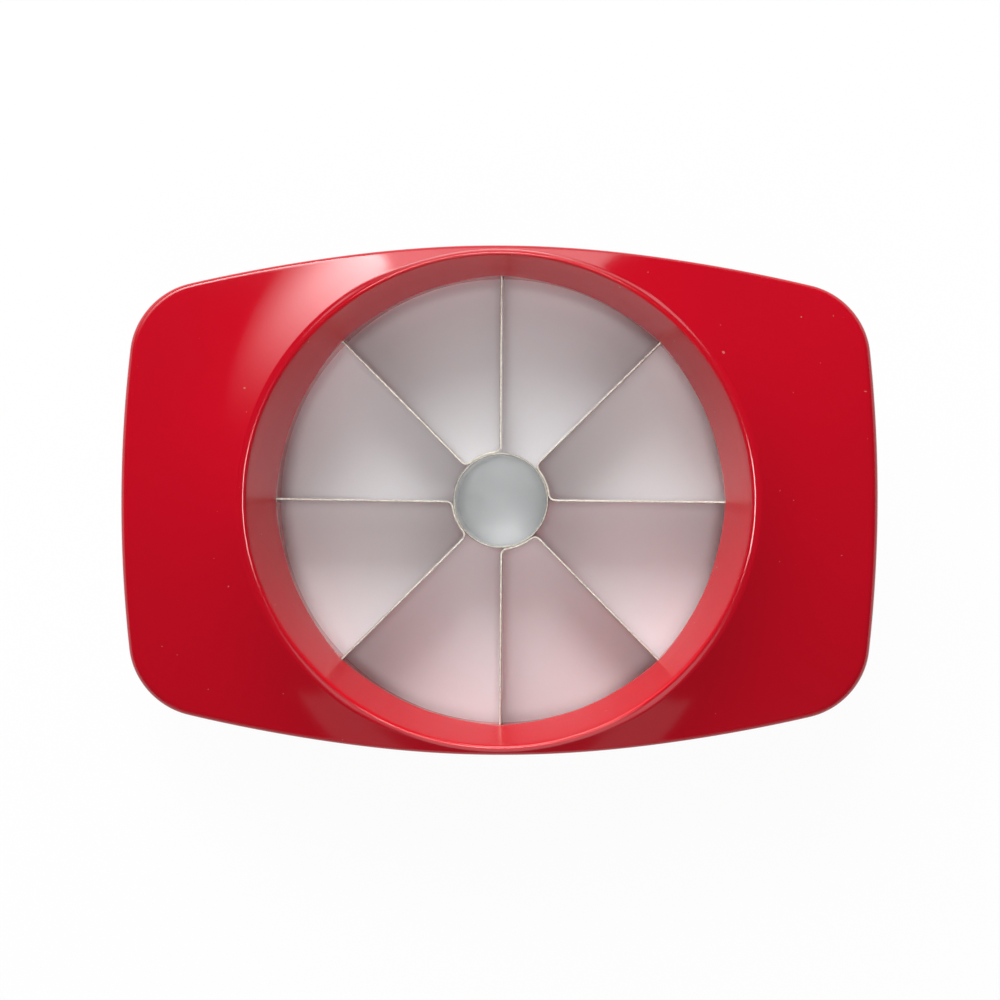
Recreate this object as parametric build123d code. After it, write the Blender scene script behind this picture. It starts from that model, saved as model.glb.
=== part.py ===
from build123d import *

import math
import os

# Two-handled apple slicer: a glossy moulded shell on a blade ring, four folded steel strips and a corer tube.
#
# Frame: millimetres, +Z up. The origin is on the corer's axis, in the plane of the cutting edges that the
# slicer stands on. X runs from handle to handle, and -Y is the front long edge.

# Overall size
overall_length = 180.0
overall_width = 121.0
overall_height = 45.0

# Plan outline: four shallow arcs with round corners
long_edge_radius = 323.0
end_edge_radius = 415.0
corner_radius = 18.0

# Top skin: crowned across Y, rising to a collar round the funnel
deck_height = 39.1
crown_radius = 300.0
collar_foot_radius = 58.8
collar_decay = 7.2
grid_step = 6.0

# Moulded walls
deck_thickness = 2.4
skirt_thickness = 2.2
skirt_low = 28.0
outer_edge_round = 1.2
rim_round = 1.2
skirt_edge_round = 0.6
handle_rib_thickness = 1.5
handle_rib_depth = 2.5
handle_rib_spacing = 22.0
handle_rib_count = 3

# How far helper solids run past the faces that they cut or meet
spare = 3.0

# Funnel over the blades, with a lip of eight flatter arcs
funnel_radius_low = 54.6
funnel_radius_high = 59.4
lip_corner_radius = 55.0
lip_arc_radius = 61.7
ring_radius = 60.2

# The collar is as high as the rim needs where the funnel opens
collar_peak = (overall_height - deck_height) * (
    1 + math.exp((funnel_radius_high + rim_round - collar_foot_radius) / collar_decay)
)

lip_height = 3.0

# Joint between shell and blade ring
parting_height = 24.0
tongue_inner = 57.3
tongue_outer = 58.3
tongue_height = 4.6
tongue_play = 0.1
groove_play_above = 0.4

# Blade ring
ring_foot_height = 1.0
ring_foot_outer = 59.7
ring_foot_inner = 57.0
foot_round = 0.5
slot_width = 1.0
slot_radius = 58.25
pocket_radius = 59.1
pocket_floor = 8.0

# Corer tube
tube_outer = 11.7
tube_wall = 0.5
tube_bevel = 0.35

# Folded strips: two radial legs and an arc that hugs the tube
wedge_count = 8
strip_thickness = 0.5
strip_bend_radius = 1.6
strip_end_radius = 58.2
tab_radius = 59.0
tab_low = 8.0
tab_high = 18.0

# Each strip by name: its two legs' slot numbers, and how far each leg sits to one side of its slot's middle
# and of the line to the axis, because the folds are not quite even and the strips seat a little askew
strips = {
    "blade_right_back": ((0, -0.25, 0.20), (1, -0.20, 0.00)),
    "blade_back_left": ((2, 0.00, 0.15), (3, 0.00, 0.15)),
    "blade_left_front": ((4, -0.25, 0.50), (5, 0.05, 0.15)),
    "blade_front_right": ((6, 0.00, 0.25), (7, -0.20, 0.05)),
}


def crown(y):
    """How far the top skin has dropped at y from the ridge over the X axis."""
    return y * y / (2 * crown_radius)


def collar(r):
    """How far the skin rises towards the funnel: a concave slope that flattens out on the handles."""
    return collar_peak / (1 + math.exp((r - collar_foot_radius) / collar_decay))


def skin_height(x, y):
    return deck_height + collar(math.hypot(x, y)) - crown(y)


def below_skin(depth):
    """A block whose top is the skin surface, lowered by depth."""
    half_x = math.ceil((overall_length / 2 + spare) / grid_step)
    half_y = math.ceil((overall_width / 2 + spare) / grid_step)
    xs = [i * grid_step for i in range(-half_x, half_x + 1)]
    ys = [j * grid_step for j in range(-half_y, half_y + 1)]
    skin = Face.make_surface_from_array_of_points([[Vector(x, y, skin_height(x, y)) for y in ys] for x in xs])
    block = extrude(skin, amount=overall_height, dir=(0, 0, -1))
    return Pos(0, 0, -depth) * block


def plan_outline(inset=0.0):
    """Outline seen from above: a lens of long edges crossed with a lens of end edges, corners rounded.

    With an inset, every arc keeps its centre and loses that much radius, so the line runs parallel inside.
    """
    long_centre = long_edge_radius - overall_width / 2
    end_centre = end_edge_radius - overall_length / 2
    long_circle = Circle(long_edge_radius - inset)
    end_circle = Circle(end_edge_radius - inset)
    long_lens = Pos(0, -long_centre) * long_circle & Pos(0, long_centre) * long_circle
    end_lens = Pos(-end_centre, 0) * end_circle & Pos(end_centre, 0) * end_circle
    face = long_lens & end_lens
    return fillet(face.vertices(), corner_radius - inset)


def column(radius, low, high):
    """A round column on the axis between two heights."""
    return Pos(0, 0, low) * extrude(Circle(radius), amount=high - low)


def cone(low_radius, high_radius, low, high):
    """A solid cone frustum on the axis between two heights."""
    tall = high - low
    return Pos(0, 0, low + tall / 2) * Cone(low_radius, high_radius, tall)


def scalloped_lip():
    """Eight arcs, flatter than the circle through their ends, joined corner to corner at the blades."""
    half_turn = math.pi / wedge_count
    chord_height = lip_corner_radius * math.cos(half_turn)
    half_chord = lip_corner_radius * math.sin(half_turn)
    middle = chord_height + lip_arc_radius - math.sqrt(lip_arc_radius**2 - half_chord**2)
    arcs = []
    for k in range(wedge_count):
        start = k * 2 * half_turn
        corner_a = (lip_corner_radius * math.cos(start), lip_corner_radius * math.sin(start))
        top = (middle * math.cos(start + half_turn), middle * math.sin(start + half_turn))
        end = start + 2 * half_turn
        corner_b = (lip_corner_radius * math.cos(end), lip_corner_radius * math.sin(end))
        arcs.append(ThreePointArc(corner_a, top, corner_b))
    return make_face(arcs)


def handle_ribs():
    """Walls across each handle's hollow, from the ring wall to the end skirt, before they are trimmed low."""
    ribs = Part()
    start = ring_radius - spare
    end = overall_length / 2 - skirt_thickness / 2
    for side in (-1, 1):
        for k in range(handle_rib_count):
            y = (k - (handle_rib_count - 1) / 2) * handle_rib_spacing
            wall = Box(end - start, handle_rib_thickness, overall_height - skirt_low)
            ribs += Pos(side * (start + end) / 2, y, (overall_height + skirt_low) / 2) * wall
    return ribs


def shell_outside():
    """The shell before it is hollowed: a skirted deck with rounded edges, and the ring wall below it."""
    prism = Pos(0, 0, skirt_low) * extrude(plan_outline(), amount=overall_height)
    deck = prism & below_skin(0)
    deck = fillet(deck.edges().filter_by(GeomType.BSPLINE), outer_edge_round)
    deck = fillet(deck.edges().group_by(Axis.Z)[0], skirt_edge_round)
    body = deck + column(ring_radius, parting_height, skirt_low + spare)
    funnel_slope = (funnel_radius_high - funnel_radius_low) / (overall_height - parting_height)
    funnel_top = overall_height + collar_peak
    top_radius = funnel_radius_low + funnel_slope * (funnel_top - parting_height)
    body = body - cone(funnel_radius_low, top_radius, parting_height, funnel_top)
    rim = body.edges().filter_by(GeomType.BSPLINE).filter_by(lambda e: lies_on_funnel(e, funnel_slope))
    return fillet(rim, rim_round)


def lies_on_funnel(edge, slope):
    """True for an edge whose middle lies on the funnel's cone."""
    middle = edge @ 0.5
    funnel_radius = funnel_radius_low + slope * (middle.Z - parting_height)
    return math.isclose(math.hypot(middle.X, middle.Y), funnel_radius, abs_tol=0.02)


def shell_room():
    """The space under the deck, between the skirt and the ring wall, with the low handle ribs left in it."""
    inner = extrude(plan_outline(skirt_thickness), amount=overall_height)
    room = (Pos(0, 0, skirt_low - spare) * inner) & below_skin(deck_thickness)
    room = room - column(ring_radius, skirt_low - 2 * spare, overall_height + spare)
    return room - (handle_ribs() - below_skin(deck_thickness + handle_rib_depth))


def upper_shell():
    """The red shell: deck, skirt, both handles and the funnel, grooved below for the blade ring's tongue."""
    body = shell_outside() - shell_room()
    body = body - Pos(0, 0, parting_height) * extrude(scalloped_lip(), amount=lip_height)
    groove_top = parting_height + tongue_height + groove_play_above
    groove = column(tongue_outer + tongue_play, parting_height, groove_top)
    groove = groove - column(tongue_inner - tongue_play, parting_height, groove_top)
    return body - groove


def blade_ring():
    """The lower ring: a wall with a tongue on top, and a slot with a pocket for each leg."""
    body = cone(ring_foot_outer, ring_radius, ring_foot_height, parting_height)
    body = body + column(tongue_outer, parting_height - spare, parting_height + tongue_height)
    body = body - column(tongue_inner, parting_height, parting_height + tongue_height)
    bore = cone(ring_foot_inner, lip_corner_radius, ring_foot_height, parting_height)
    body = body - bore
    foot = body.edges().filter_by(GeomType.CIRCLE).group_by(Axis.Z)[0]
    body = fillet(foot, foot_round)
    inside = lip_corner_radius - spare
    tall = parting_height + tongue_height + spare
    slot = Pos((inside + slot_radius) / 2, 0, tall / 2) * Box(slot_radius - inside, slot_width, tall)
    pocket_height = tall - pocket_floor
    pocket = Pos((inside + pocket_radius) / 2, 0, pocket_floor + pocket_height / 2) * Box(
        pocket_radius - inside, slot_width, pocket_height
    )
    for k in range(wedge_count):
        body = body - Rot(0, 0, k * 360 / wedge_count) * (slot + pocket)
    return body


def corer_tube():
    """The steel tube that takes the core out, ground to an edge inside its lower end."""
    tube = column(tube_outer, 0, parting_height) - column(tube_outer - tube_wall, 0, parting_height)
    inner_low = tube.edges().filter_by(GeomType.CIRCLE).group_by(Axis.Z)[0].sort_by(SortBy.RADIUS)[0]
    return chamfer(inner_low, tube_bevel)


def leg_points(leg, arc_side, arc_radius, shift):
    """End, bend start and bend end of one leg's line, shifted towards the arc's side by shift.

    leg is a slot number with the leg's sideways places at the slot and at the axis. arc_side is 1 where the
    arc lies anticlockwise of the leg, and -1 where it lies clockwise.
    """
    number, seat_side, axis_side = leg
    turn = number * 360 / wedge_count
    middle_radius = arc_radius + strip_thickness / 2
    slope = math.atan2(axis_side - seat_side, tab_radius)
    along = Vector(1, 0).rotate(Axis.Z, turn - math.degrees(slope))
    towards = along.rotate(Axis.Z, 90) * arc_side
    near = Vector(0, axis_side).rotate(Axis.Z, turn)
    aside = near.dot(towards)
    bend_aside = aside + strip_bend_radius
    bend_along = math.sqrt((middle_radius + strip_bend_radius) ** 2 - bend_aside**2)
    foot = towards * aside
    centre = foot + along * bend_along + towards * strip_bend_radius
    end = foot + along * tab_radius + towards * shift
    bend_start = centre - towards * (strip_bend_radius - shift)
    bend_end = centre * ((middle_radius + shift) / (middle_radius + strip_bend_radius))
    return end, bend_start, centre, bend_end


def bend_middle(centre, start, end):
    """The point halfway round a bend."""
    radius = (start - centre).length
    return centre + ((start + end) * 0.5 - centre).normalized() * radius


def strip_side(legs, shift):
    """The plan line of one face of a strip: leg, bend, arc round the tube, bend, leg."""
    end_a, start_a, centre_a, arc_a = leg_points(legs[0], 1, tube_outer, shift)
    end_b, start_b, centre_b, arc_b = leg_points(legs[1], -1, tube_outer, shift)
    arc_radius = tube_outer + strip_thickness / 2 + shift
    arc_top = (arc_a + arc_b).normalized() * arc_radius
    return [
        Line(end_a, start_a),
        ThreePointArc(start_a, bend_middle(centre_a, start_a, arc_a), arc_a),
        ThreePointArc(arc_a, arc_top, arc_b),
        ThreePointArc(arc_b, bend_middle(centre_b, arc_b, start_b), start_b),
        Line(start_b, end_b),
    ]


def folded_strip(legs):
    """One steel strip on edge: both legs end in a tab that sits in a pocket of the blade ring."""
    inner = strip_side(legs, -strip_thickness / 2)
    outer = strip_side(legs, strip_thickness / 2)
    ends = [Line(inner[0] @ 0, outer[0] @ 0), Line(inner[-1] @ 1, outer[-1] @ 1)]
    strip = extrude(make_face(inner + outer + ends), amount=parting_height)
    beyond = column(tab_radius + spare, 0, parting_height) - column(strip_end_radius, 0, parting_height)
    tab = column(tab_radius + 2 * spare, tab_low, tab_high)
    return strip - (beyond - tab)


part_makers = {"upper_shell": upper_shell, "blade_ring": blade_ring, "corer_tube": corer_tube}

os.makedirs("parts", exist_ok=True)
for name, make in part_makers.items():
    export_step(make(), f"parts/{name}.step")
for name, legs in strips.items():
    export_step(folded_strip(legs), f"parts/{name}.step")
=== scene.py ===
# %% [markdown]
# # An apple slicer, looked at from above
#
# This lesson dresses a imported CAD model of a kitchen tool: a glossy red plastic shell with two handles, a
# plastic ring under it, four folded steel strips that make eight blades, and a steel tube that takes the core
# out. The CAD model gives every size and place. Blender gives the looks: how the plastic shines, how the cut
# steel catches the light, and how pale light falls through the blades onto the table.
#
# The tool is rigid, so every piece rides on the one body called root. Lengths in this file are millimetres,
# as on the drawing, and one helper turns them into Blender's metres.

import math

import bmesh
import bpy
import numpy as np
from mathutils import Matrix, Quaternion, Vector


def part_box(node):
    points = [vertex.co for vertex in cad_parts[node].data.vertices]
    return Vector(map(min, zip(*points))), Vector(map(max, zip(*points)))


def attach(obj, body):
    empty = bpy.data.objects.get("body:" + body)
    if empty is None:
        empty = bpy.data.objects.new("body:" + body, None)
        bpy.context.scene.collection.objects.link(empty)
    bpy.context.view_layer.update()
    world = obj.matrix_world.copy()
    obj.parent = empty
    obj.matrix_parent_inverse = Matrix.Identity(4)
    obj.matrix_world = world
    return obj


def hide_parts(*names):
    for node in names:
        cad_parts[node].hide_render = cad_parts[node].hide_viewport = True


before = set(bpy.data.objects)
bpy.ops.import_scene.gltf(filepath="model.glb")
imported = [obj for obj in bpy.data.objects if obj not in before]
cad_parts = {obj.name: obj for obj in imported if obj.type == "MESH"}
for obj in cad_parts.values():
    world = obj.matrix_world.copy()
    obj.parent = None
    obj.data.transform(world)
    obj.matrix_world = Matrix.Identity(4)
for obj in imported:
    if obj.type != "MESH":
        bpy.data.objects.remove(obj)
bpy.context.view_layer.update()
MM = 0.001
print("nodes:", ", ".join(sorted(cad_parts)))

# %% [markdown]
# ## Sizes from the frame
#
# A dressed piece that doesn't fit its CAD part is worse than none, so the main sizes aren't typed in again.
# They are read from the boxes of the CAD nodes. What a box can't say, such as the radius of an arc, is a
# named value where it is first used.

# %% Read the main sizes
def node_box(node):
    """Lowest and highest corner of a CAD node in millimetres, to a tenth."""
    return [[round(value / MM, 1) for value in corner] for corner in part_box(node)]


shell_low, shell_high = node_box("upper_shell")
ring_low, ring_high = node_box("blade_ring")
tube_high = node_box("corer_tube")[1]
half_length = shell_high[0]
half_width = shell_high[1]
rim_top = shell_high[2]
parting_height = shell_low[2]
tongue_top = ring_high[2]
ring_radius = ring_high[0]
ring_foot = ring_low[2]
tube_radius = tube_high[0]
tube_top = tube_high[2]
print(f"shell {2 * half_length} x {2 * half_width} mm, rim at {rim_top}, joint at {parting_height}")

# %% [markdown]
# ## The camera
#
# The camera comes before the pieces, because it decides how much detail shows. The tool is seen from
# straight above, from about half a metre. Low things look smaller than high ones from there, and the inside
# of the funnel shows all round. The camera looks straight down from a little to the right of the axis, so
# slightly more of the left wall shows than of the right one, and a small lens shift brings the tool back to
# the middle of the picture. Tilting the camera instead would make the right handle look larger than the left.

# %% Place the camera
camera_place = Vector((9.5, -2.0, 474.0))
camera_roll = math.radians(0.2)
focal_pixels = 1835.5
image_pixels = 1000.0
axis_pixel = (500.7, 500.45)
handle_height = 39.0

camera_data = bpy.data.cameras.new("camera")
camera_data.sensor_width = 36.0
camera_data.lens = focal_pixels * camera_data.sensor_width / image_pixels
camera = bpy.data.objects.new("camera", camera_data)
bpy.context.scene.collection.objects.link(camera)
camera_turn = Matrix.Rotation(camera_roll, 3, "Z")
camera.matrix_world = Matrix.Translation(camera_place * MM) @ camera_turn.to_4x4()
bpy.context.scene.camera = camera


def pixel_of(point, shift=(0.0, 0.0)):
    """Where a point in millimetres lands in the square picture."""
    seen = camera_turn.transposed() @ (Vector(point) - camera_place)
    half = image_pixels / 2
    across = half - focal_pixels * seen.x / seen.z - shift[0] * image_pixels
    down = half + focal_pixels * seen.y / seen.z + shift[1] * image_pixels
    return across, down


unshifted = pixel_of((0, 0, parting_height))
camera_data.shift_x = (unshifted[0] - axis_pixel[0]) / image_pixels
camera_data.shift_y = (axis_pixel[1] - unshifted[1]) / image_pixels
lens_shift = (camera_data.shift_x, camera_data.shift_y)
for label, point in {
    "axis at the blades": (0, 0, parting_height),
    "left end": (-half_length, 0, handle_height),
    "right end": (half_length, 0, handle_height),
    "back edge": (0, half_width, handle_height),
    "front edge": (0, -half_width, handle_height),
}.items():
    print(label, "lands at", [round(value, 1) for value in pixel_of(point, lens_shift)])

# %% [markdown]
# ## From rows of points to a mesh
#
# Nearly everything here is a row of points carried along a path: the shell's section carried round the axis,
# a strip's section carried along its fold. So one helper takes a table of points and joins neighbours with
# four-sided faces. Points that coincide become one vertex, which closes a surface where two rows meet, and a
# face that has lost its area that way is left out.

# %% A mesh builder
class Surface:
    """Collects faces from points in millimetres, sharing the vertices that coincide."""

    def __init__(self):
        self.points = []
        self.index = {}
        self.faces = []
        self.finish = []

    def vertex(self, point):
        key = tuple(round(float(value), 4) for value in point)
        if key not in self.index:
            self.index[key] = len(self.points)
            self.points.append(key)
        return self.index[key]

    def face(self, corners, finish=0):
        ring = []
        for corner in corners:
            vertex = self.vertex(corner)
            if vertex not in ring:
                ring.append(vertex)
        if len(ring) > 2:
            self.faces.append(ring)
            self.finish.append(finish)

    def sweep(self, rows, close_rows=False, close_row=False, finish=0):
        """Joins a list of rows, each the same number of points. finish may be one number or one per point."""
        count = len(rows[0])
        for i in range(len(rows) if close_rows else len(rows) - 1):
            row, after = rows[i], rows[(i + 1) % len(rows)]
            for j in range(count if close_row else count - 1):
                k = (j + 1) % count
                number = finish if isinstance(finish, int) else finish[j]
                self.face([row[j], row[k], after[k], after[j]], number)

    def piece(self, name, *materials, sharp_degrees=32):
        """Makes the object, smooth except where faces meet at more than an angle."""
        mesh = bpy.data.meshes.new(name)
        mesh.from_pydata([[value * MM for value in point] for point in self.points], [], self.faces)
        mesh.validate()
        for material in materials:
            mesh.materials.append(material)
        mesh.polygons.foreach_set("material_index", self.finish)
        tidy = bmesh.new()
        tidy.from_mesh(mesh)
        bmesh.ops.recalc_face_normals(tidy, faces=tidy.faces)
        open_edges = sum(1 for edge in tidy.edges if not edge.is_manifold)
        tidy.to_mesh(mesh)
        tidy.free()
        mesh.shade_smooth()
        mesh.set_sharp_from_angle(angle=math.radians(sharp_degrees))
        made = bpy.data.objects.new(name, mesh)
        bpy.context.scene.collection.objects.link(made)
        print(f"{name}: {len(mesh.polygons)} faces, {open_edges} open edges")
        return made


# %% [markdown]
# ## The shell's outline
#
# Seen from above the shell is a pillow: two long edges and two ends, each a shallow arc, with round corners.
# A polygon traced by eye would ripple in the reflections, so the outline is worked out: for every direction
# from the axis, one formula says how far away the arc is. Taking the same amount off every radius gives a
# line that runs parallel inside, which the rounded edges need.

# %% How far the outline is in each direction
long_edge_radius = 323.0
end_edge_radius = 415.0
corner_radius = 18.0
long_centre = np.array([0.0, half_width - long_edge_radius])
end_centre = np.array([half_length - end_edge_radius, 0.0])


def meeting_point(centre_a, radius_a, centre_b, radius_b):
    """The upper right point where two circles cross."""
    between = centre_b - centre_a
    apart = np.hypot(*between)
    along = (apart**2 + radius_a**2 - radius_b**2) / (2 * apart)
    aside = math.sqrt(radius_a**2 - along**2)
    unit = between / apart
    one = centre_a + unit * along + np.array([-unit[1], unit[0]]) * aside
    other = centre_a + unit * along - np.array([-unit[1], unit[0]]) * aside
    return one if one.sum() > other.sum() else other


corner_centre = meeting_point(
    long_centre, long_edge_radius - corner_radius, end_centre, end_edge_radius - corner_radius
)


def reach(direction, centre, radius):
    """How far along rays from the axis a circle's far side is."""
    along = direction @ centre
    return along + np.sqrt(np.maximum(0, along**2 - centre @ centre + radius**2))


def outline_radius(angle, inset=0.0):
    """Distance from the axis to the outline, pulled in by inset, at angles in radians."""
    direction = np.stack([np.abs(np.cos(angle)), np.abs(np.sin(angle))], axis=-1)
    from_long = corner_centre - long_centre
    from_end = corner_centre - end_centre
    touch_long = corner_centre + from_long / np.hypot(*from_long) * (corner_radius - inset)
    touch_end = corner_centre + from_end / np.hypot(*from_end) * (corner_radius - inset)
    steepness = np.arctan2(direction[..., 1], direction[..., 0])
    on_long = steepness > np.arctan2(touch_long[1], touch_long[0])
    on_end = steepness < np.arctan2(touch_end[1], touch_end[0])
    corner = reach(direction, corner_centre, corner_radius - inset)
    long_edge = reach(direction, long_centre, long_edge_radius - inset)
    end_edge = reach(direction, end_centre, end_edge_radius - inset)
    return np.where(on_long, long_edge, np.where(on_end, end_edge, corner))


print("corner centre", corner_centre.round(2))
print("reach on the diagonal", outline_radius(np.pi / 4).round(2))

# %% [markdown]
# ## The shell's top skin
#
# The deck is a low crown: highest along the line from handle to handle and falling towards both long edges.
# Round the funnel it rises in a collar, steep at the rim and flattening out on the handles. Gloss makes the
# eye read slopes more than heights, so the skin is one smooth formula without joins, the same one that the
# CAD model has. The collar's peak follows from the height that the rim has to reach.

# %% Height and slope of the skin
deck_height = 39.1
crown_radius = 300.0
collar_foot_radius = 58.8
collar_decay = 7.2
rim_radius = 60.6
collar_peak = (rim_top - deck_height) * (1 + math.exp((rim_radius - collar_foot_radius) / collar_decay))


def skin_height(x, y):
    distance = np.hypot(x, y)
    collar = collar_peak / (1 + np.exp((distance - collar_foot_radius) / collar_decay))
    return deck_height + collar - y**2 / (2 * crown_radius)


def skin_on(angle, distance):
    return skin_height(distance * np.cos(angle), distance * np.sin(angle))


def radial_slope(angle, distance, step=0.01):
    """Rise of the skin per millimetre outward, straight away from the axis."""
    return (skin_on(angle, distance + step) - skin_on(angle, distance - step)) / (2 * step)


print("skin at the rim", skin_height(rim_radius, 0.0).round(2))
print("skin at the handle's end", skin_height(half_length, 0.0).round(2))

# %% [markdown]
# ## The shell's section, all the way round
#
# A moulded shell has one wall that turns over at every edge. Its section starts at the bottom of the
# funnel, climbs the cone, rolls over the rim, runs out across the deck, rolls over the outer edge, drops
# down the skirt, and comes back underneath to where it started. Two of those turns matter most to the eye,
# because they draw thin bright lines: the roll at the rim and the one at the outer edge. The outer edge is
# one arc. The rim is three: a small corner where the funnel ends, an almost flat land, and a bead that runs
# out into the collar. Each arc leaves its neighbour without a kink, and all are fuller at the handles than
# on the long edges, where there is hardly room for them.

# %% Funnel, rim roll and deck
column_count = 720
angles = np.arange(column_count) * 2 * np.pi / column_count
funnel_radius_low = 54.6
funnel_radius_high = 59.4
funnel_slope = (funnel_radius_high - funnel_radius_low) / (rim_top - parting_height)
wedge_count = 8
lip_corner_radius = 55.0
lip_arc_radius = 61.7


def smoothstep(low, high, value):
    share = np.clip((value - low) / (high - low), 0, 1)
    return share * share * (3 - 2 * share)


def lip_radius(angle):
    """Eight arcs, flatter than the circle, that meet in corners at the blades."""
    half_turn = np.pi / wedge_count
    from_middle = np.mod(angle, 2 * half_turn) - half_turn
    chord_height = lip_corner_radius * math.cos(half_turn)
    half_chord = lip_corner_radius * math.sin(half_turn)
    centre = chord_height - math.sqrt(lip_arc_radius**2 - half_chord**2)
    along = centre * np.cos(from_middle)
    return along + np.sqrt(along**2 - centre**2 + lip_arc_radius**2)


def funnel_radius(height):
    return funnel_radius_low + funnel_slope * (height - parting_height)


def between(on_handle, on_long_edge, share):
    return on_handle + (on_long_edge - on_handle) * share


# The rim's three arcs, from the funnel outward: a small corner, an almost flat land, and a bead that runs on
# into the collar. A tilt is how far the surface leans outward, and the funnel's own is nearly -90 degrees.
# Each radius is given at the handles and on the long edges.
corner_arc = (0.85, 0.65)
land_arc = (7.6, 3.2)
bead_arc = (1.6, 1.2)
land_tilts = np.radians([-2.0, 7.0])
near_long_edge = smoothstep(0.80, 0.97, np.abs(np.sin(angles)))
rim_radii = np.stack([between(*pair, near_long_edge) for pair in (corner_arc, land_arc, bead_arc)])
funnel_tilt = math.atan(funnel_slope) - math.pi / 2


def rim_tilts(touch):
    """The four tilts that bound the three arcs, for every column, when the last one ends at touch."""
    outward = np.arctan(-radial_slope(angles, touch))
    inner = [np.full(column_count, tilt) for tilt in (funnel_tilt, *land_tilts)]
    return np.stack([*inner, np.maximum(outward, land_tilts[1])])


def rim_steps(tilts):
    """How far each arc goes outward and up."""
    across = rim_radii * np.diff(np.sin(tilts), axis=0)
    up = rim_radii * np.diff(np.cos(tilts), axis=0)
    return across, up


def rim_touch():
    """Where the bead meets the skin, per column, so that the first arc starts on the funnel's cone."""
    low = np.full(column_count, funnel_radius_high - 3)
    high = np.full(column_count, funnel_radius_high + 6)
    for _ in range(50):
        touch = (low + high) / 2
        across, up = rim_steps(rim_tilts(touch))
        start_distance = touch - across.sum(axis=0)
        start_height = skin_on(angles, touch) - up.sum(axis=0)
        inside = start_distance < funnel_radius(start_height)
        low = np.where(inside, touch, low)
        high = np.where(inside, high, touch)
    return touch, start_distance, start_height


rim_end, rim_start, rim_start_height = rim_touch()
print("rim width", (rim_end - rim_start).min().round(2), "to", (rim_end - rim_start).max().round(2))

# %% Outer edge, skirt and the underside
edge_round_long_edge = 1.6
edge_round_handle = 2.2
skirt_thickness = 2.2
skirt_low = 28.0
skirt_edge_round = 0.6
deck_thickness = 2.4
tongue_inner = 57.3
tongue_outer = 58.3
tongue_play = 0.1
groove_top = tongue_top + 0.4
lip_height = 3.0


def level(distance, height):
    """A closed line of points round the shell: one distance and one height per column."""
    distance = np.broadcast_to(distance, (column_count,))
    height = np.broadcast_to(height, (column_count,))
    return np.stack([distance * np.cos(angles), distance * np.sin(angles), height], axis=1)


def funnel_levels():
    lows = [0, 0.5, 1.0, 1.5, 2.0, 3.0]
    levels = []
    for low in lows:
        wall = funnel_radius(parting_height + low)
        if low < lip_height:
            wall = np.maximum(wall, lip_radius(angles))
        levels.append(level(wall, parting_height + low))
    for share in np.linspace(0.15, 1, 8)[:-1]:
        height = parting_height + lip_height + share * (rim_start_height - parting_height - lip_height)
        levels.append(level(funnel_radius(height), height))
    return levels


def rim_levels(steps=(9, 4, 6)):
    tilts = rim_tilts(rim_end)
    distance, height = rim_start, rim_start_height
    levels = [level(distance, height)]
    for radius, tilt, next_tilt, count in zip(rim_radii, tilts[:-1], tilts[1:], steps):
        for share in np.linspace(0, 1, count + 1)[1:]:
            turn = tilt + (next_tilt - tilt) * share
            out = distance + radius * (np.sin(turn) - np.sin(tilt))
            up = height + radius * (np.cos(turn) - np.cos(tilt))
            levels.append(level(out, up))
        distance, height = out, up
    return levels


def edge_start():
    """Inset, height and tilt at which the skin turns over into the outer edge, for every column."""
    along_long = smoothstep(0.45, 0.59375, np.abs(np.sin(angles)))
    radius = between(edge_round_handle, edge_round_long_edge, along_long)
    inset = radius.copy()
    for _ in range(8):
        inner = skin_on(angles, np.array([outline_radius(a, i + 0.05) for a, i in zip(angles, inset)]))
        outer = skin_on(angles, np.array([outline_radius(a, i - 0.05) for a, i in zip(angles, inset)]))
        tilt = np.arctan((inner - outer) / 0.1)
        inset = radius * (1 - np.sin(tilt))
    height = skin_on(angles, np.array([outline_radius(a, i) for a, i in zip(angles, inset)]))
    return inset, height, tilt, radius


edge_inset, edge_height, edge_tilt, edge_radius = edge_start()


def inset_level(inset, height):
    """A closed line parallel to the outline, at one inset and height per column."""
    inset = np.broadcast_to(inset, (column_count,))
    return level(np.array([float(outline_radius(a, i)) for a, i in zip(angles, inset)]), height)


def deck_levels(steps=34):
    end = np.array([float(outline_radius(a, i)) for a, i in zip(angles, edge_inset)])
    levels = []
    for share in np.linspace(0, 1, steps)[1:-1]:
        distance = rim_end + (end - rim_end) * share**1.25
        levels.append(level(distance, skin_on(angles, distance)))
    return levels


def edge_levels(steps=10):
    levels = []
    for share in np.linspace(0, 1, steps):
        turn = edge_tilt + (np.pi / 2 - edge_tilt) * share
        drop = edge_radius * (np.cos(edge_tilt) - np.cos(turn))
        levels.append(inset_level(edge_radius * (1 - np.sin(turn)), edge_height - drop))
    return levels


def skirt_levels():
    """The upright part starts where the outer edge's arc ends, which is lower on the long edges."""
    low = skirt_low + skirt_edge_round
    arc_end = edge_height - edge_radius * np.cos(edge_tilt)
    side = [inset_level(0, low + (arc_end - low) * share) for share in (0.5, 0)]
    for share in (0.33, 0.67, 1):
        turn = share * np.pi / 2
        inset = skirt_edge_round * (1 - math.cos(turn))
        side.append(inset_level(inset, skirt_low + skirt_edge_round * (1 - math.sin(turn))))
    return side


def hollow_levels(steps=14):
    """Skirt inside, deck underside and ring wall. The hollow thins to nothing beside the funnel."""
    inner = np.maximum(outline_radius(angles, skirt_thickness), ring_radius)
    width = inner - ring_radius
    depth = smoothstep(0, 1.5, width)
    levels = [level(inner, skirt_low)]
    for share in np.linspace(1, 0, steps):
        distance = ring_radius + width * share
        roof = skin_on(angles, distance) - deck_thickness
        levels.append(level(distance, skirt_low + (roof - skirt_low) * depth))
    levels.append(level(ring_radius, skirt_low))
    return levels


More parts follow.
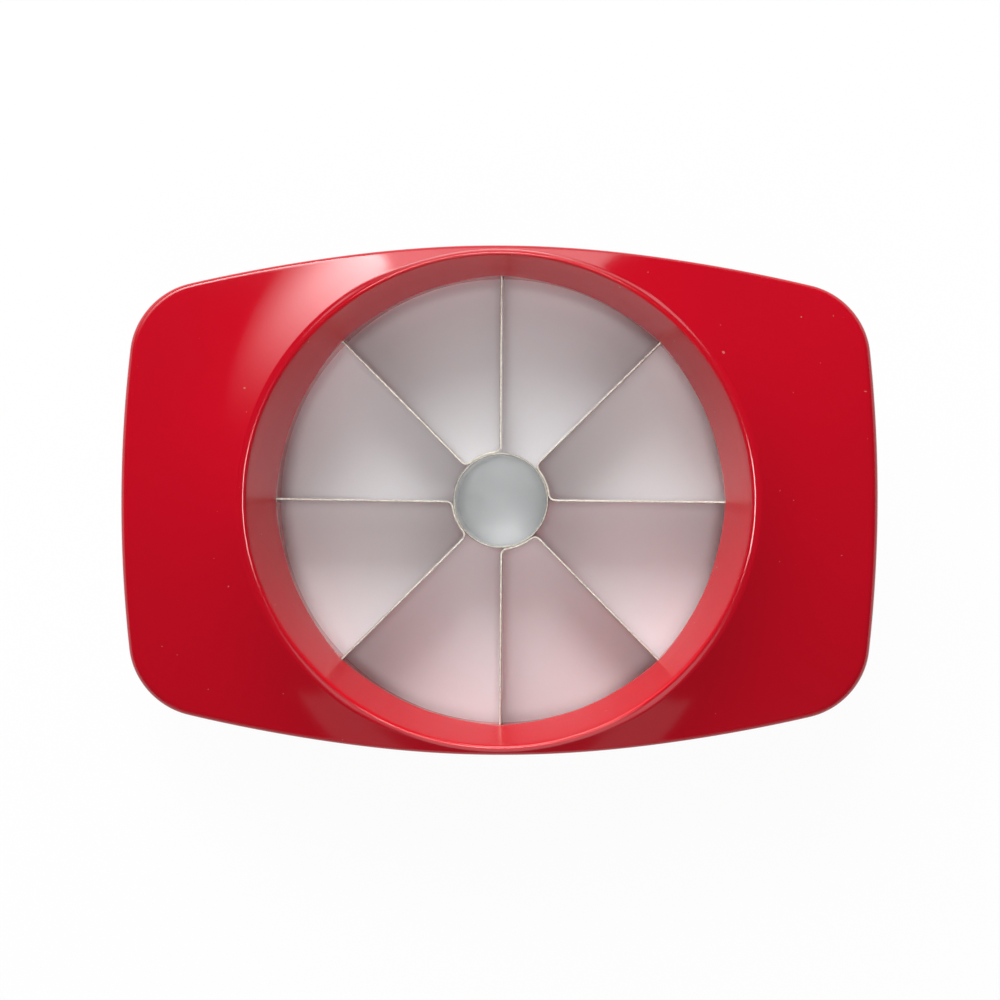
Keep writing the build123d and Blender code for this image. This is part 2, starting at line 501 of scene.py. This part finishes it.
def joint_levels():
    """The flat bottom of the ring wall, with the groove that takes the lower ring's tongue."""
    stations = [
        (ring_radius, parting_height),
        (tongue_outer + tongue_play, parting_height),
        (tongue_outer + tongue_play, groove_top),
        (tongue_inner - tongue_play, groove_top),
        (tongue_inner - tongue_play, parting_height),
    ]
    return [level(distance, height) for distance, height in stations]


shell_levels = funnel_levels() + rim_levels() + deck_levels() + edge_levels()
shell_levels += skirt_levels() + hollow_levels() + joint_levels()
print("levels in the shell's section:", len(shell_levels))

# %% [markdown]
# ## Ribs under the handles
#
# Turned over, each handle is hollow and has three low ribs that stop the deck from flexing. They are plain
# slabs that follow the underside, so they are swept too, and join the shell's mesh because they are moulded
# with it.

# %% Build the shell
rib_thickness = 1.5
rib_depth = 2.5
rib_spacing = 22.0
ribs_per_handle = 3


def add_rib(surface, side, y):
    """One slab under a handle, from the ring wall to the end skirt, sunk a little into what it meets."""
    start = math.sqrt(ring_radius**2 - y**2) - 0.5
    end = half_length - skirt_thickness / 2 - 0.3
    rows = []
    for x in np.linspace(start, end, 16):
        roof = skin_height(x, y) - deck_thickness
        low, high = roof - rib_depth, roof + 0.5
        near, far = y - rib_thickness / 2, y + rib_thickness / 2
        rows.append([(side * x, *corner) for corner in ((near, low), (far, low), (far, high), (near, high))])
    surface.sweep(rows, close_row=True)
    surface.face(rows[0])
    surface.face(rows[-1])


shell_surface = Surface()
shell_surface.sweep(shell_levels, close_rows=True, close_row=True)
for side in (-1, 1):
    for k in range(ribs_per_handle):
        add_rib(shell_surface, side, (k - (ribs_per_handle - 1) / 2) * rib_spacing)
shell = shell_surface.piece("upper_shell_dressed")

# %% [markdown]
# ## The blade ring
#
# The ring under the shell is a second moulding. A tongue on its top fits the groove in the shell, and eight
# slots let the strips drop in from above before the shell closes over them. The section is carried round in
# eight sectors. At each slot the section changes to one with the inside missing, and the two flat cheeks of
# the slot are filled with a single face each. That is cleaner than cutting boxes out of a finished ring,
# which leaves long thin faces that shade badly.

# %% Build the blade ring
ring_foot_outer = 59.7
ring_foot_inner = 57.0
foot_round = 0.5
top_round = 0.15
slot_width = 1.0
slot_radius = 58.25
pocket_radius = 59.1
pocket_floor = 8.0


def arc(centre, radius, start, end, steps=4):
    """Points (distance, height) on an arc between two angles in degrees."""
    turns = np.radians(np.linspace(start, end, steps))
    return [(centre[0] + radius * math.cos(t), centre[1] + radius * math.sin(t)) for t in turns]


def ring_outside():
    """The part of the section that the slots leave alone: foot, outer wall and the outer half of the top."""
    foot = arc((ring_foot_outer - foot_round, ring_foot + foot_round), foot_round, -90, 0)
    top = arc((ring_radius - top_round, parting_height - top_round), top_round, 0, 90)
    return [(slot_radius, ring_foot)] + foot + top + [(pocket_radius, parting_height)]


def ring_inside():
    """The part that the slots remove: the tongue, the bore and the inner half of the foot."""
    tongue = [(tongue_outer, parting_height)]
    tongue += arc((tongue_outer - top_round, tongue_top - top_round), top_round, 0, 90)
    tongue += arc((tongue_inner + top_round, tongue_top - top_round), top_round, 90, 180)
    tongue += [(tongue_inner, parting_height)]
    tongue += arc((lip_corner_radius + top_round, parting_height - top_round), top_round, 90, 180)
    bore_steps = []
    for share in (0.25, 0.5, 0.75):
        distance = lip_corner_radius + (ring_foot_inner - lip_corner_radius) * share
        bore_steps.append((distance, parting_height - (parting_height - ring_foot) * share))
    foot = arc((ring_foot_inner + foot_round, ring_foot + foot_round), foot_round, 180, 270)
    return tongue + bore_steps + foot


slot_inside = [(pocket_radius, pocket_floor), (slot_radius, pocket_floor)]


def beside_slot(section, number, offset):
    """The section's points on the flat plane that lies offset to one side of a slot's middle."""
    turn = number * 2 * math.pi / wedge_count
    row = []
    for distance, height in section:
        along = math.sqrt(distance**2 - offset**2)
        x = along * math.cos(turn) - offset * math.sin(turn)
        y = along * math.sin(turn) + offset * math.cos(turn)
        row.append((x, y, height))
    return row


def around(section, angle):
    return [(distance * math.cos(angle), distance * math.sin(angle), height) for distance, height in section]


def build_ring(sector_steps=44):
    surface = Surface()
    whole = ring_outside() + ring_inside()
    cut = ring_outside() + slot_inside
    half = slot_width / 2
    for k in range(wedge_count):
        turn = k * 2 * math.pi / wedge_count
        next_turn = (k + 1) * 2 * math.pi / wedge_count
        clear = half / slot_radius
        rows = [beside_slot(whole, k, half)]
        for share in np.linspace(0, 1, sector_steps)[1:-1]:
            rows.append(around(whole, turn + clear + (next_turn - turn - 2 * clear) * share))
        rows.append(beside_slot(whole, k + 1, -half))
        surface.sweep(rows, close_row=True)
        surface.sweep([beside_slot(cut, k, side) for side in (-half, half)], close_row=True)
        cheek = [(pocket_radius, parting_height)] + ring_inside()
        cheek += [(slot_radius, ring_foot)] + slot_inside[::-1]
        for side in (-half, half):
            surface.face(beside_slot(cheek, k, side))
    return surface.piece("blade_ring_dressed")


ring = build_ring()

# %% [markdown]
# ## The corer tube
#
# The tube is rolled steel with a wall of half a millimetre. Its lower end is ground from the inside to an
# edge that presses through the core. The upper end is only deburred, which leaves a tiny round that shows as
# a bright hairline.

# %% Build the corer tube
tube_wall = 0.5
tube_bevel = 0.35
tube_top_round = 0.12


def build_tube(steps=240):
    inner = tube_radius - tube_wall
    section = [(tube_radius, 0.0)]
    section += [(tube_radius, tube_top * share) for share in (0.25, 0.5, 0.75)]
    section += arc((tube_radius - tube_top_round, tube_top - tube_top_round), tube_top_round, 0, 90)
    section += arc((inner + tube_top_round, tube_top - tube_top_round), tube_top_round, 90, 180)
    section += [(inner, tube_top * share) for share in (0.75, 0.5, 0.25)]
    section += [(inner, tube_bevel), (inner + tube_bevel, 0.0)]
    surface = Surface()
    rows = [around(section, 2 * math.pi * k / steps) for k in range(steps)]
    finish = [1 if 4 <= j < 11 else 0 for j in range(len(section))]
    surface.sweep(rows, close_rows=True, close_row=True, finish=finish)
    return surface.piece("corer_tube_dressed")


tube = build_tube()

# %% [markdown]
# ## The folded strips
#
# Each strip of spring steel makes two of the eight blades. It is folded into a V whose point hugs the tube,
# and each leg ends in a tab that sits in a pocket of the ring. The folds aren't perfectly even, so the legs
# sit a little to one side of their slots. The line of each strip is worked out as on the real part: leg,
# bend, arc round the tube, bend, leg. Its section is carried along that line. The lower edge is ground on
# both sides, and the upper edge is as the shears left it, which is why it wanders by a few hundredths of a
# millimetre.

# %% The line of a strip
strip_thickness = 0.5
strip_bend_radius = 1.6
strip_end_radius = 58.2
tab_radius = 59.0
tab_low = 8.0
tab_high = 18.0

# Each strip by its CAD node: a leg's slot, and how far the leg sits aside at the slot and at the axis
strips = {
    "blade_right_back": ((0, -0.25, 0.20), (1, -0.20, 0.00)),
    "blade_back_left": ((2, 0.00, 0.15), (3, 0.00, 0.15)),
    "blade_left_front": ((4, -0.25, 0.50), (5, 0.05, 0.15)),
    "blade_front_right": ((6, 0.00, 0.25), (7, -0.20, 0.05)),
}


def turned(x, y, angle):
    return np.array([x * math.cos(angle) - y * math.sin(angle), x * math.sin(angle) + y * math.cos(angle)])


def half_strip(leg, arc_side):
    """Points and outward normals of one leg and its bend, from the outer end in to the arc round the tube."""
    number, seat_side, axis_side = leg
    turn = number * 2 * math.pi / wedge_count
    lean = math.atan2(axis_side - seat_side, tab_radius)
    along = turned(1, 0, turn - lean)
    towards = np.array([-along[1], along[0]]) * arc_side
    aside = turned(0, axis_side, turn) @ towards
    middle_radius = tube_radius + strip_thickness / 2
    bend_aside = aside + strip_bend_radius
    bend_along = math.sqrt((middle_radius + strip_bend_radius) ** 2 - bend_aside**2)
    centre = towards * bend_aside + along * bend_along
    points, normals = [], []
    for distance in np.linspace(strip_end_radius, bend_along, 60):
        points.append(towards * aside + along * distance)
        normals.append(towards)
    start = math.atan2(*(-towards)[::-1])
    end = math.atan2(*(-centre)[::-1])
    sweep = (end - start + math.pi) % (2 * math.pi) - math.pi
    for share in np.linspace(0, 1, 10)[1:]:
        away = turned(1, 0, start + sweep * share)
        points.append(centre + away * strip_bend_radius)
        normals.append(-away)
    return points, normals


def strip_line(legs):
    """Points and normals along a whole strip. The normals point away from the tube."""
    points_a, normals_a = half_strip(legs[0], 1)
    points_b, normals_b = half_strip(legs[1], -1)
    start = math.atan2(*points_a[-1][::-1])
    sweep = (math.atan2(*points_b[-1][::-1]) - start) % (2 * math.pi)
    middle_radius = tube_radius + strip_thickness / 2
    hug = [turned(1, 0, start + sweep * share) for share in np.linspace(0, 1, 24)[1:-1]]
    points = points_a + [middle_radius * away for away in hug] + points_b[::-1]
    normals = normals_a + hug + normals_b[::-1]
    return points, normals


# %% Build the strips
strip_top = node_box("blade_right_back")[1][2]
ground_height = 1.4
edge_width = 0.06
burr = 0.03


def strip_section(top):
    """Section (aside, height) of a strip whose sheared edge ends at top, from the edge round to itself."""
    half = strip_thickness / 2
    heights = [ground_height, strip_top * 0.35, strip_top * 0.7, top - 0.12]
    left = [(-half, height) for height in heights]
    right = [(half, height) for height in heights[::-1]]
    crest = [(-half + 0.04, top - 0.01), (-0.08, top), (0.08, top - 0.005), (half - 0.06, top - 0.03)]
    return [(-edge_width / 2, 0.0)] + left + crest + right + [(edge_width / 2, 0.0)]


def add_tab(surface, point, normal, outward):
    """The tongue at a leg's end: a short block that sits in the ring's pocket."""
    corners = []
    for reach_out in (-0.4, tab_radius - strip_end_radius):
        middle = point + outward * reach_out
        near = middle - normal * (strip_thickness / 2 - 0.01)
        far = middle + normal * (strip_thickness / 2 - 0.01)
        corners.append([(*near, tab_low), (*far, tab_low), (*far, tab_high), (*near, tab_high)])
    surface.sweep(corners, close_row=True)
    surface.face(corners[0])
    surface.face(corners[1])


def build_strip(name, legs, seed):
    points, normals = strip_line(legs)
    wander = np.random.default_rng(seed).normal(0, 1, len(points))
    wander = np.convolve(wander, np.ones(3) / 3, mode="same") * burr
    surface = Surface()
    rows = []
    for point, normal, rise in zip(points, normals, wander):
        section = strip_section(strip_top - abs(rise))
        rows.append([(*(point + normal * aside), height) for aside, height in section])
    count = len(rows[0])
    finish = [0] + [0] * 3 + [1] * 6 + [0] * (count - 10)
    surface.sweep(rows, close_row=True, finish=finish)
    surface.face(rows[0])
    surface.face(rows[-1])
    for end, inner in ((0, 1), (-1, -2)):
        outward = (points[end] - points[inner]) / np.hypot(*(points[end] - points[inner]))
        add_tab(surface, points[end], normals[end], outward)
    return surface.piece(f"{name}_dressed")


blades = {name: build_strip(name, legs, seed) for seed, (name, legs) in enumerate(strips.items())}

# %% [markdown]
# ## Node helpers
#
# Every finish is built from the same few blocks: a shader, a noise or wave that varies it, and a ramp that
# says how much. The helper keeps those lines short. A value that is the same everywhere is set on the
# shader's own socket, so that it also survives an export.

# %% A small node kit
class Finish:
    """A material with a principled shader, and short calls that add and join nodes."""

    def __init__(self, name):
        self.material = bpy.data.materials.new(name)
        self.material.use_nodes = True
        self.nodes = self.material.node_tree.nodes
        self.links = self.material.node_tree.links
        self.shader = self.nodes["Principled BSDF"]

    def set(self, **values):
        for socket, value in values.items():
            self.shader.inputs[socket.replace("_", " ")].default_value = value

    def add(self, kind, **settings):
        node = self.nodes.new(kind)
        for setting, value in settings.items():
            setattr(node, setting, value)
        return node

    def join(self, output, target):
        self.links.new(output, target)

    def place(self):
        """Object coordinates, in metres."""
        return self.add("ShaderNodeTexCoord").outputs["Object"]

    def maths(self, operation, one, other):
        """One sum on two numbers, each of which may be an output or a plain value."""
        node = self.add("ShaderNodeMath", operation=operation)
        for socket, value in zip(node.inputs, (one, other)):
            if isinstance(value, float):
                socket.default_value = value
            else:
                self.join(value, socket)
        return node.outputs["Value"]

    def from_axis(self):
        """Distance from the tool's axis, in metres, whatever the height."""
        flat = self.add("ShaderNodeVectorMath", operation="MULTIPLY")
        self.join(self.place(), flat.inputs[0])
        flat.inputs[1].default_value = (1.0, 1.0, 0.0)
        length = self.add("ShaderNodeVectorMath", operation="LENGTH")
        self.join(flat.outputs["Vector"], length.inputs[0])
        return length.outputs["Value"]

    def stretched(self, source, scale):
        node = self.add("ShaderNodeMapping")
        node.inputs["Scale"].default_value = scale
        self.join(source, node.inputs["Vector"])
        return node.outputs["Vector"]

    def noise(self, source, scale, detail=2.0, roughness=0.5):
        node = self.add("ShaderNodeTexNoise")
        node.inputs["Scale"].default_value = scale
        node.inputs["Detail"].default_value = detail
        node.inputs["Roughness"].default_value = roughness
        self.join(source, node.inputs["Vector"])
        return node.outputs["Fac"]

    def ramp(self, source, low, high, out_low=0.0, out_high=1.0):
        node = self.add("ShaderNodeMapRange", clamp=True)
        limits = {"From Min": low, "From Max": high, "To Min": out_low, "To Max": out_high}
        for socket, value in limits.items():
            node.inputs[socket].default_value = value
        self.join(source, node.inputs["Value"])
        return node.outputs["Result"]

    def blend(self, amount, one, other, kind="MIX"):
        """Mixes two colours, or a colour and an output, by an output."""
        node = self.add("ShaderNodeMix", data_type="RGBA", blend_type=kind)
        self.join(amount, node.inputs["Factor"])
        for socket, value in ((node.inputs[6], one), (node.inputs[7], other)):
            if isinstance(value, tuple):
                socket.default_value = value
            else:
                self.join(value, socket)
        return node.outputs[2]

    def bump(self, height, distance, strength=1.0):
        node = self.add("ShaderNodeBump")
        node.inputs["Distance"].default_value = distance
        node.inputs["Strength"].default_value = strength
        self.join(height, node.inputs["Height"])
        self.join(node.outputs["Normal"], self.shader.inputs["Normal"])


# %% [markdown]
# ## Red moulded plastic
#
# The shell is glossy injection-moulded plastic. Its red is deep and saturated: hardly any green or blue
# comes back except as reflected light on the surface. A mirror-like gloss would look like glass, so three
# small things are added: a faint orange peel from the mould, patches that are slightly less polished where
# hands hold it, and a few specks of dust. All three are kept near the limit of what shows.
#
# A thin plastic wall lets a little light through. This material lets none through, so inside the funnel the
# red is painted brighter. That is painted light, standing in for the light that would come through the wall
# and lifting the funnel's walls, and the surface there is duller.

# %% Make the plastics
def red_plastic(name, colour, painted_light_colour, roughness):
    finish = Finish(name)
    finish.set(IOR=1.5, Roughness=roughness)
    place = finish.place()
    patches = finish.noise(place, 35.0, 3.0)
    gloss = finish.ramp(patches, 0.3, 0.7, roughness * 0.8, roughness * 1.3)
    deeper = tuple(value * 0.93 for value in colour[:3]) + (1.0,)
    tinted = finish.blend(finish.ramp(finish.noise(place, 18.0), 0.35, 0.65), colour, deeper)
    wall_start = funnel_radius_high - wall_blend
    # Inside the funnel the colour turns to a brighter red: painted light on the funnel wall. The same share
    # makes the surface there duller.
    funnel_wall_share = finish.ramp(finish.from_axis(), funnel_radius_high * MM, wall_start * MM)
    with_painted_wall_light = finish.blend(funnel_wall_share, tinted, painted_light_colour)
    satin = finish.blend(funnel_wall_share, gloss, (wall_roughness,) * 3 + (1.0,))
    finish.join(satin, finish.shader.inputs["Roughness"])
    specks = finish.ramp(finish.noise(place, 900.0, 0.0), *rarest_noise)
    finish.join(finish.blend(specks, with_painted_wall_light, dust), finish.shader.inputs["Base Color"])
    finish.bump(finish.noise(place, 260.0, 1.0), 0.00001, 0.5)
    return finish.material


dust = (0.62, 0.14, 0.12, 1.0)
rarest_noise = (0.87, 0.90)
wall_roughness = 0.18
wall_blend = 0.6
shell_red = (0.52, 0.0015, 0.0125, 1.0)
# The brighter red for inside the funnel, which is painted light
funnel_painted_light_red = (0.72, 0.002, 0.014, 1.0)
shell.data.materials.append(red_plastic("shell_plastic", shell_red, funnel_painted_light_red, 0.10))
ring.data.materials.append(red_plastic("ring_plastic", shell_red, funnel_painted_light_red, 0.16))

# %% [markdown]
# ## Steel
#
# The strips are cut from rolled sheet. The faces keep the fine lines of the rolling, which run along the
# strip, and the sheared top edge is rougher and warmer in colour than the faces. The tube was drawn, so it
# is smoother than the strips, with faint lines along its length. Its upper end was cut and deburred, and the
# cut is duller and darker than the drawn wall.

# %% Make the steels
def steel(name, colour, roughness, line_scale, line_depth):
    finish = Finish(name)
    finish.set(Metallic=1.0, IOR=2.5)
    place = finish.place()
    lines = finish.noise(finish.stretched(place, line_scale), 1.0, 3.0)
    polish = finish.ramp(lines, 0.3, 0.7, roughness * 0.75, roughness * 1.3)
    finish.join(polish, finish.shader.inputs["Roughness"])
    darker = tuple(value * 0.85 for value in colour[:3]) + (1.0,)
    shaded = finish.blend(finish.ramp(lines, 0.3, 0.7), colour, darker)
    finish.join(shaded, finish.shader.inputs["Base Color"])
    finish.bump(lines, line_depth, 0.4)
    return finish.material


blade_steel = steel("blade_steel", (0.80, 0.78, 0.76, 1.0), 0.2, (60.0, 60.0, 2500.0), 0.00001)
sheared_steel = steel("sheared_edge", (0.66, 0.63, 0.56, 1.0), 0.5, (1500.0, 1500.0, 1500.0), 0.00003)
tube_steel = steel("tube_steel", (0.88, 0.87, 0.85, 1.0), 0.16, (900.0, 900.0, 60.0), 0.00001)
cut_steel = steel("cut_tube_end", (0.46, 0.45, 0.40, 1.0), 0.5, (1500.0, 1500.0, 1500.0), 0.00002)
for blade in blades.values():
    blade.data.materials.append(blade_steel)
    blade.data.materials.append(sheared_steel)
tube.data.materials.append(tube_steel)
tube.data.materials.append(cut_steel)

# %% [markdown]
# ## The table
#
# The slicer stands on a plain white table. Outside the tool the table should read as clean white, and
# inside the ring it has to show the soft shade that the walls and blades cast on it. So the material is an
# ordinary matt white, and only beyond the ring's wall does it turn towards plain white for the camera and
# for reflections. Nothing about the light on the object changes.

# %% Build the table
table_size = 4000.0
table_white = (0.90, 0.925, 0.945, 1.0)
clear_from = ring_radius - 1.5
clear_beyond = ring_radius - 1.0
clear_share = 0.95


def build_table():
    surface = Surface()
    half = table_size / 2
    surface.face([(-half, -half, 0), (half, -half, 0), (half, half, 0), (-half, half, 0)])
    made = surface.piece("table")
    finish = Finish("table_white")
    finish.set(Base_Color=table_white, Roughness=0.9, Specular_IOR_Level=0.2)
    outside = finish.ramp(finish.from_axis(), clear_from * MM, clear_beyond * MM)
    rays = finish.add("ShaderNodeLightPath").outputs
    seen = finish.maths("MAXIMUM", rays["Is Camera Ray"], rays["Is Glossy Ray"])
    clear = finish.maths("MAXIMUM", seen, rays["Is Transmission Ray"])
    mostly = finish.maths("MULTIPLY", finish.maths("MULTIPLY", clear, outside), clear_share)
    glow = finish.add("ShaderNodeEmission")
    mixed = finish.add("ShaderNodeMixShader")
    finish.join(mostly, mixed.inputs["Fac"])
    finish.join(finish.shader.outputs["BSDF"], mixed.inputs[1])
    finish.join(glow.outputs["Emission"], mixed.inputs[2])
    finish.join(mixed.outputs["Shader"], finish.nodes["Material Output"].inputs["Surface"])
    made.data.materials.append(finish.material)
    return made


table = build_table()

# %% [markdown]
# ## Light
#
# A glossy curved thing shows its lamps, so each lamp is placed for what it draws. The flare softbox, high
# behind the left handle, makes the broad pale flare beside the rim. It fades towards the left and towards
# the top, which gives the flare its soft side, and ends abruptly on the right, which gives it the sharp one.
# A dimmer panel carries it on along the back edge. The key stands where the deck can't mirror it, so it only
# gives light: it falls steeply over the back wall and lays the shade of every blade on the table. A small
# lamp straight above keeps that shade open, and weak panels in front lift the near side. The room stays dim
# above, because a bright sky would lay a grey veil over the flat deck, and pale along the horizon, which
# draws the light line on the outer edges.

# %% Place the lamps
def softbox(name, azimuth, zenith, distance, width, height, radiance, roll=0.0):
    """A rectangular lamp that faces the tool. Angles are in degrees and lengths in metres."""
    lamp = bpy.data.lights.new(name, "AREA")
    lamp.shape = "RECTANGLE"
    lamp.size = width
    lamp.size_y = height
    lamp.energy = radiance * math.pi * width * height
    made = bpy.data.objects.new(name, lamp)
    turn, tip = math.radians(azimuth), math.radians(zenith)
    away = Vector((math.sin(tip) * math.cos(turn), math.sin(tip) * math.sin(turn), math.cos(tip)))
    made.location = away * distance
    made.rotation_mode = "QUATERNION"
    made.rotation_quaternion = away.to_track_quat("Z", "Y") @ Quaternion((0, 0, 1), math.radians(roll))
    bpy.context.scene.collection.objects.link(made)
    solid_angle = width * height / distance**2
    adds = radiance * solid_angle * math.cos(tip) / math.pi
    print(f"{name}: {solid_angle:.2f} sr, adds {adds:.2f} to a flat white")
    return made


def fade(made, across_power, up_start, up_end):
    """Makes a softbox weaker towards its left side and towards the edge nearest to the zenith."""
    lamp = made.data
    lamp.use_nodes = True
    nodes, links = lamp.node_tree.nodes, lamp.node_tree.links
    place = nodes.new("ShaderNodeSeparateXYZ")
    links.new(nodes.new("ShaderNodeNewGeometry").outputs["Parametric"], place.inputs["Vector"])
    from_left = nodes.new("ShaderNodeMath")
    from_left.operation = "SUBTRACT"
    from_left.inputs[0].default_value = 1.0
    links.new(place.outputs["X"], from_left.inputs[1])
    side = nodes.new("ShaderNodeMath")
    side.operation = "POWER"
    links.new(from_left.outputs["Value"], side.inputs[0])
    side.inputs[1].default_value = across_power
    rise = nodes.new("ShaderNodeMapRange")
    rise.interpolation_type = "SMOOTHSTEP"
    links.new(place.outputs["Y"], rise.inputs["Value"])
    rise.inputs["From Min"].default_value = up_start
    rise.inputs["From Max"].default_value = up_end
    both = nodes.new("ShaderNodeMath")
    both.operation = "MULTIPLY"
    links.new(side.outputs["Value"], both.inputs[0])
    links.new(rise.outputs["Result"], both.inputs[1])
    links.new(both.outputs["Value"], nodes["Emission"].inputs["Strength"])


softbox("key_softbox", 96, 43, 1.1, 0.36, 0.45, 9.5)
softbox("top_panel", 0, 0, 1.2, 0.20, 0.20, 22.0)
softbox("top_back_panel", 90, 24, 1.2, 0.24, 0.30, 3.0)
softbox("top_front_panel", 270, 22, 1.2, 0.26, 0.40, 1.8)
softbox("front_panel", 271, 45, 1.1, 0.44, 0.55, 1.8)
flare = softbox("flare_softbox", 138, 60, 1.2, 1.09, 0.62, 18.0, -10.0)
fade(flare, 2.8, 1.15, 0.25)
softbox("back_panel", 92, 68, 1.3, 0.84, 0.36, 3.6)
softbox("front_fill", 268, 63, 1.2, 1.40, 0.30, 0.5)


# How high the backdrop reaches, as the upward part of a direction of length 1
backdrop_full = 0.10
backdrop_end = 0.28


def build_room(dim, sweep):
    """Dim above, with a pale backdrop along the horizon that the camera, gloss and glass see as white."""
    world = bpy.data.worlds.new("room")
    world.use_nodes = True
    nodes, links = world.node_tree.nodes, world.node_tree.links

    def either(kind, one, other):
        node = nodes.new("ShaderNodeMath")
        node.operation = kind
        for socket, value in zip(node.inputs, (one, other)):
            if isinstance(value, float):
                socket.default_value = value
            else:
                links.new(value, socket)
        return node.outputs["Value"]

    rays = nodes.new("ShaderNodeLightPath").outputs
    way = nodes.new("ShaderNodeSeparateXYZ")
    links.new(nodes.new("ShaderNodeTexCoord").outputs["Generated"], way.inputs["Vector"])
    low = nodes.new("ShaderNodeMapRange")
    links.new(way.outputs["Z"], low.inputs["Value"])
    low.inputs["From Min"].default_value = backdrop_end
    low.inputs["From Max"].default_value = backdrop_full
    mirrored = either("MAXIMUM", rays["Is Glossy Ray"], rays["Is Transmission Ray"])
    white = either("MAXIMUM", rays["Is Camera Ray"], either("MULTIPLY", mirrored, low.outputs["Result"]))
    lighting = either("MAXIMUM", either("MULTIPLY", low.outputs["Result"], sweep), dim)
    links.new(either("MAXIMUM", white, lighting), nodes["Background"].inputs["Strength"])
    nodes["Background"].inputs["Color"].default_value = (1, 1, 1, 1)
    return world


bpy.context.scene.world = build_room(0.08, 0.6)
bpy.context.scene.view_settings.view_transform = "Standard"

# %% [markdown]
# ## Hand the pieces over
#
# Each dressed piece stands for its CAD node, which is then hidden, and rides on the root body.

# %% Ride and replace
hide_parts("upper_shell")
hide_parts("blade_ring")
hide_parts("corer_tube")
for name, blade in blades.items():
    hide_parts(name)
for piece in (shell, ring, tube, *blades.values()):
    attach(piece, "root")
